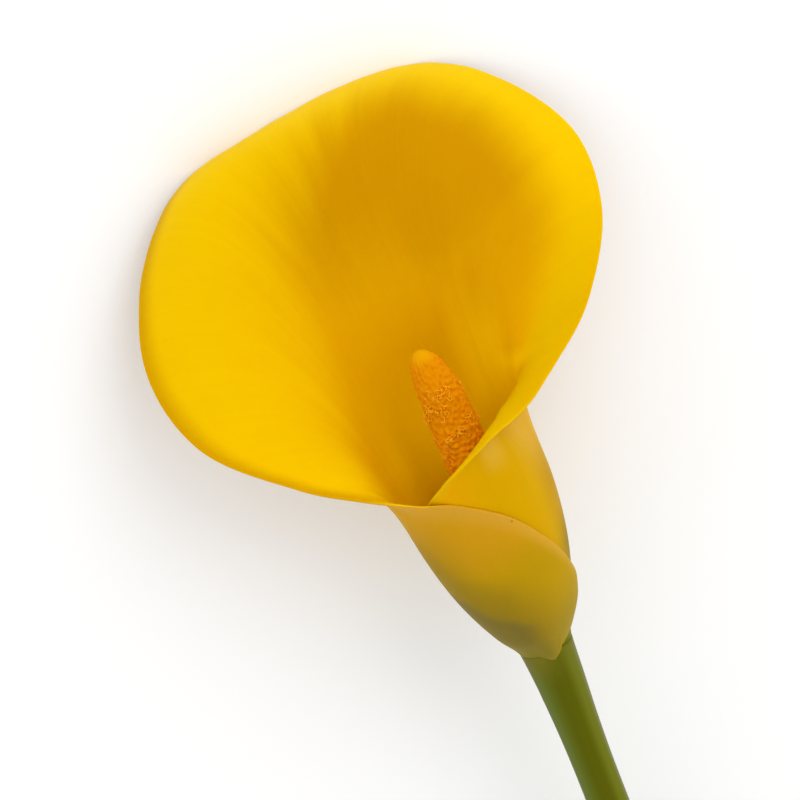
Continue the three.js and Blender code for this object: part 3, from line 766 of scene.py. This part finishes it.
def insideColour(f, n, masks, feathered):
    # lemon along the rim, with painted shade down its right side and along its rolled left edge; amber
    # within, partly its own colour and partly painted shade; and lemon again down in the throat as a painted
    # glow of light
    p = insidePlaces
    rim = n.painted(f["rim"], f, masks, rimPatches)
    # painted shade: darker amber high up the back wall, in the fold inside the right flare and in the hollow
    # below it
    shade = n.math("MAXIMUM", n.reach(masks, p["crease"]), n.reach(masks, p["hollow"]))
    amber = n.blend(n.reach(masks, p["high"]), f["amber"], f["high"])
    amber = n.blend(shade, amber, f["high"])
    # the painted glow of light in the throat reaches higher on the right than on the left
    depth = n.math("MULTIPLY_ADD", n.reach(masks, p["rightWall"]), f["rightGlow"], masks["height"])
    depth = n.math("MULTIPLY_ADD", n.reach(masks, p["leftWall"]), f["leftGlow"], depth)
    amber = n.blend(n.reach({"depth": depth}, p["throat"]), amber, f["throat"])
    # the amber runs out towards the rim in soft feathered rays
    deep = masks["deep"]
    border = n.math("MULTIPLY", deep, n.math("SUBTRACT", 1.0, deep))
    rays = n.math("MULTIPLY_ADD", border, n.math("MULTIPLY", feathered, f["feathering"]), deep)
    # a painted patch of light where the right lip folds over, lifting the shade in the fold
    return n.blend(n.reach(masks, p["fold"]), n.blend(rays, rim, amber), f["fold"])


def innerTurnColour(f, n, masks):
    # gold, warmer and lighter in the fold as painted light against the shade of the gap, tawny and darker
    # down the right as painted shade where it faces away from the light, olive at the lower right, with a
    # painted sheen under the lip
    color = n.blend(n.between(masks["turn"], 0.05, -0.08), f["innerTurn"], f["innerFold"])
    side = n.painted(f["innerLow"], f, masks, sideShadePatches)
    color = n.blend(n.between(masks["turn"], 0.12, 0.22), color, side)
    return n.painted(color, f, masks, sheenPatches)


def wrapColour(f, n, masks, uv):
    # gold above and olive below, partly its greener foot and partly painted shade; browner down its left side
    # and darker at the lower left as painted shade over the olive, with a paler lip that is a painted sheen
    color = n.painted(f["wrapTop"], f, masks, wrapPatches)
    acrossTurn, upTall = 75, 100        # mm round and up the wrap for one unit of its UV map
    for angle, up in specks:
        spot = (angle / 360 * acrossTurn, up, 0)
        place = {0: n.stretched(uv, (acrossTurn, upTall, 1)), 1: spot}
        away = n.add("ShaderNodeVectorMath", place, output="Value", operation="DISTANCE")
        color = n.blend(n.between(away, speckSize, speckSize / 2), color, n.tinted(color, f["speck"]))
    return color


def spatheMaterial():
    # both faces' colours, with fine veins, faint blotches and a waxy glow
    f, n = spatheFinish, Nodes("spatheWax")
    masks = {name: n.mask(name) for name in ("height", "turn", "margin", "deep", "outside")}
    spot = n.add("ShaderNodeTexCoord", output="Object")
    uv = n.add("ShaderNodeTexCoord", output="UV")
    feathered = n.math("SUBTRACT", n.noise(n.stretched(uv, f["rayScale"]), 1.0, 2.0), 0.5)
    uneven = n.math("SUBTRACT", n.noise(spot, f["unevenScale"], 4.0), 0.5)
    masks["ragged"] = n.math("MULTIPLY_ADD", uneven, f["raggedness"], masks["height"])
    masks["slanted"] = n.math("MULTIPLY_ADD", masks["turn"], f["slant"], masks["ragged"])
    outer = n.painted(innerTurnColour(f, n, masks), f, masks, backPatches)
    outer = n.blend(n.between(masks["turn"], 0.70, 0.80), outer, wrapColour(f, n, masks, uv))
    color = n.blend(masks["outside"], insideColour(f, n, masks, feathered), outer)
    veins = n.noise(n.stretched(uv, f["veinScale"]), 1.0, 2.0)
    color = n.blend(n.between(veins, 0.3, 0.75, 0.0, f["veinShare"]), color, n.tinted(color, f["vein"]))
    blotch = n.noise(spot, f["blotchScale"], 3.0)
    color = n.blend(n.between(blotch, 0.35, 0.75, 0.0, f["blotchShare"]), color, n.tinted(color, f["blotch"]))
    grain = n.noise(spot, f["grainScale"], 2.0)
    relief = n.bumped(grain, *f["grainRelief"], n.bumped(veins, *f["veinRelief"]))
    return n.finish(n.add("ShaderNodeBsdfPrincipled", {
        "Base Color": color, "Roughness": f["roughness"], "Specular IOR Level": f["glossLevel"],
        "Specular Tint": f["gloss"], "Normal": relief, "Subsurface Weight": f["glow"],
        "Subsurface Radius": f["glowReach"], "Subsurface Scale": f["glowScale"]}))


stemFinish = {
    "left": rgb(92, 104, 26), "body": rgb(84, 86, 0), "right": rgb(104, 108, 8), "far": rgb(98, 106, 12),
    "top": rgb(110, 104, 24), "dome": rgb(226, 186, 20), "cut": rgb(206, 208, 140),
    "fibre": (0.78, 0.82, 0.5, 1), "fibreShare": 0.22, "fibreScale": (60, 3, 1), "fibreRelief": (0.2, 0.0002),
    "gloss": (0.8, 0.9, 0.3, 1), "glossLevel": 0.1, "roughness": 0.45,
}
stemPatches = [
    # left and right are a painted reflection: the sides paler, the left bluer, than the middle
    ("left", [("toLeft", 0.15, 0.85)]), ("right", [("toLeft", -0.2, -0.75)]),
    ("far", [("toBack", -0.2, 0.3)]), ("far", [("height", -0.5, -1.6, 0, 0.6)]),
    ("top", [("height", -0.07, 0), ("toLeft", -0.3, 0.5, 0.35, 1)]), ("dome", [("height", 0.0015, 0.004)]),
]


def stemMaterial():
    # olive green, a little paler down both sides as a painted reflection of the white surroundings, and paler
    # where it meets the spathe, with fine lengthwise fibres
    f, n = stemFinish, Nodes("stemGreen")
    masks = {name: n.mask(name) for name in ("height", "toLeft", "toBack")}
    color = n.painted(f["body"], f, masks, stemPatches)
    uv = n.add("ShaderNodeTexCoord", output="UV")
    fibre = n.noise(n.stretched(uv, f["fibreScale"]), 1.0, 3.0)
    color = n.blend(n.between(fibre, 0.35, 0.7, 0.0, f["fibreShare"]), color, n.tinted(color, f["fibre"]))
    return n.finish(n.add("ShaderNodeBsdfPrincipled", {
        "Base Color": n.blend(n.mask("cut"), color, f["cut"]), "Roughness": f["roughness"],
        "Specular IOR Level": f["glossLevel"], "Specular Tint": f["gloss"],
        "Normal": n.bumped(fibre, *f["fibreRelief"])}))


spadixFinish = {
    "tip": rgb(224, 156, 0), "upper": rgb(220, 138, 0), "lower": rgb(252, 162, 0), "grooveShade": rgb(218, 124, 0),
    "ripe": rgb(214, 114, 0), "roughness": 0.8, "glossLevel": 0.15, "gloss": (1, 0.6, 0.1, 1),
    "grainScale": 3200, "grainRelief": (0.4, 0.0001),
}
spadixPatches = [
    ("lower", [("height", 0.54, 0.42)]), ("ripe", [("own", 0.5, 1, 0, 0.35)]),
    ("grooveShade", [("dome", 0.1, 0.9, 0.42, 0)]),
]


def spadixMaterial():
    # orange florets, some riper than others, in slightly deeper furrows darkened by painted shade
    f, n = spadixFinish, Nodes("spadixFlorets")
    masks = {name: n.mask(name) for name in ("height", "own", "dome")}
    color = n.painted(f["upper"], f, masks, spadixPatches)
    grain = n.noise(n.add("ShaderNodeTexCoord", output="Object"), f["grainScale"], 2.0)
    return n.finish(n.add("ShaderNodeBsdfPrincipled", {
        "Base Color": n.blend(n.mask("bare"), color, f["tip"]), "Roughness": f["roughness"],
        "Specular IOR Level": f["glossLevel"], "Specular Tint": f["gloss"],
        "Normal": n.bumped(grain, *f["grainRelief"])}))


pollenFinish = {"color": rgb(248, 172, 12), "roughness": 0.85, "glossLevel": 0.15}
floorFinish = {"color": (0.94, 0.94, 0.94, 1), "roughness": 0.9, "glossLevel": 0.1}


def plainMaterial(name, f):
    # one dull colour all over
    n = Nodes(name)
    return n.finish(n.add("ShaderNodeBsdfPrincipled", {
        "Base Color": f["color"], "Roughness": f["roughness"], "Specular IOR Level": f["glossLevel"]}))


def dress(piece, material, slot, *nodes):
    # gives a piece its material and its body, and hides the CAD nodes that it stands for; the slot is not
    # used
    piece.data.materials.append(material)
    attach(piece, "root")
    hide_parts(*nodes)


dress(makeStem(), stemMaterial(), "stem", "stem")
print("stem made")
dress(makeSpathe(), spatheMaterial(), "spathe", "spathe")
print("spathe made")
dress(makeSpadix(), spadixMaterial(), "spadix", "spadix")
pollen = makePollen()
pollen.data.materials.append(plainMaterial("pollen", pollenFinish))
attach(pollen, "root")
print("spadix and pollen made")

# The camera looks down on the lying flower, from the side of its mouth.
cameraView = {
    "alpha": 65, "tilt": 21.3, "distance": 620, "frameWidth": 144, "sensor": 36,
    "footPixel": (549, 650), "middlePixel": (400, 400), "mmPerPixel": 0.18,
}


def upright(vector, isPoint=False):
    # from the upright flower's millimetres to the lying scene's metres; a bare direction is only turned
    placed = turnDown @ np.array(vector, float)
    return placed * mm + shift if isPoint else placed


def placeCamera():
    # the picture's middle lies off the foot of the spathe by the pixels between them
    c = cameraView
    alpha, tilt = math.radians(c["alpha"]), math.radians(c["tilt"])
    right, up = np.array([1, 0, 0]), np.array([0, math.cos(alpha), math.sin(alpha)])
    toCamera = np.array([0, -math.sin(alpha), math.cos(alpha)])
    dx = c["middlePixel"][0] - c["footPixel"][0]
    dy = c["footPixel"][1] - c["middlePixel"][1]
    middle = ((dx * math.cos(tilt) + dy * math.sin(tilt)) * right
              + (-dx * math.sin(tilt) + dy * math.cos(tilt)) * up) * c["mmPerPixel"]
    pictureRight = math.cos(tilt) * right - math.sin(tilt) * up
    pictureUp = math.sin(tilt) * right + math.cos(tilt) * up
    data = bpy.data.cameras.new("photoCamera")
    data.sensor_width = c["sensor"]
    data.lens = c["sensor"] * c["distance"] / c["frameWidth"]
    data.clip_start, data.clip_end = 0.01, 20
    camera = bpy.data.objects.new("photoCamera", data)
    scene.collection.objects.link(camera)
    axes = [upright(pictureRight), upright(pictureUp), upright(toCamera)]
    place = upright(middle + toCamera * c["distance"], isPoint=True)
    matrix = [[axes[0][i], axes[1][i], axes[2][i], place[i]] for i in range(3)] + [[0, 0, 0, 1]]
    camera.matrix_world = Matrix(matrix)
    scene.camera = camera
    return [np.array(axis) for axis in axes], upright(middle, isPoint=True)


cameraAxes, pictureMiddle = placeCamera()

# Soft studio light: each lamp's direction is given right, up and towards the camera, as the picture shows it.
lamps = {
    "key": {"toward": (0.35, 0.4, 0.8), "distance": 1.1, "size": 0.7, "power": 2.8},
}


def addLamp(name, toward, distance, size, power):
    # a round lamp that faces the middle of the picture from its direction and distance
    data = bpy.data.lights.new(name, "AREA")
    data.shape, data.size, data.energy = "DISK", size, power
    lamp = bpy.data.objects.new(name, data)
    scene.collection.objects.link(lamp)
    direction = Vector(sum(share * axis for share, axis in zip(toward, cameraAxes))).normalized()
    lamp.location = Vector(pictureMiddle) + direction * distance
    lamp.rotation_mode = "QUATERNION"
    lamp.rotation_quaternion = direction.to_track_quat("Z", "Y")


for name, settings in lamps.items():
    addLamp(name, **settings)

world = bpy.data.worlds.new("studio")
world.use_nodes = True
world.node_tree.nodes["Background"].inputs["Color"].default_value = (1, 1, 1, 1)
world.node_tree.nodes["Background"].inputs["Strength"].default_value = 0.98
scene.world = world
scene.view_settings.view_transform = "Standard"

floorMesh = bpy.data.meshes.new("floor")
halfFloor = 2.5
corners = [(x * halfFloor, y * halfFloor, 0) for x, y in ((-1, -1), (1, -1), (1, 1), (-1, 1))]
floorMesh.from_pydata(corners, [], [(0, 1, 2, 3)])
floor = bpy.data.objects.new("floor", floorMesh)
scene.collection.objects.link(floor)
floorMesh.materials.append(plainMaterial("paleFloor", floorFinish))
print("camera, light and floor made")
